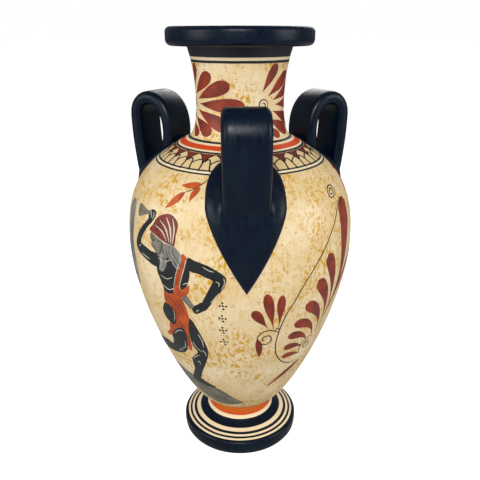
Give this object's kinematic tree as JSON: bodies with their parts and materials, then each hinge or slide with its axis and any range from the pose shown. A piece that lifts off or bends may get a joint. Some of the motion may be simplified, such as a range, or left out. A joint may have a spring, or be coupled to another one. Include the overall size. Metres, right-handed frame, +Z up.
{
  "type": "three-handled amphora",
  "caption": "Footed ceramic amphora with an egg-shaped body, waisted neck, thick lip and looped strap handles on leaf-shaped roots.",
  "frame": {"origin": "centre of the foot's flat underside", "axes": "+Z up along the vessel's turning axis, one handle pointing to -Y, the other two at 25 and 150 degrees from +X"},
  "size_m": [0.1669, 0.1701, 0.32],
  "materials": {
    "black_slip": "satin blue-black slip",
    "cream_slip": "matt cream slip with painted decoration",
    "orange_slip": "matt orange-red slip"
  },
  "bodies": {
    "root": {"foot_disc": "black_slip", "lip": "black_slip", "front_handle_strap": "black_slip", "front_handle_root": "black_slip", "right_handle_strap": "black_slip", "right_handle_root": "black_slip", "left_handle_strap": "black_slip", "left_handle_root": "black_slip", "foot_collar": "orange_slip", "body_bowl": "cream_slip", "body_shoulder": "cream_slip", "neck": "cream_slip"}
  },
  "joints": []
}
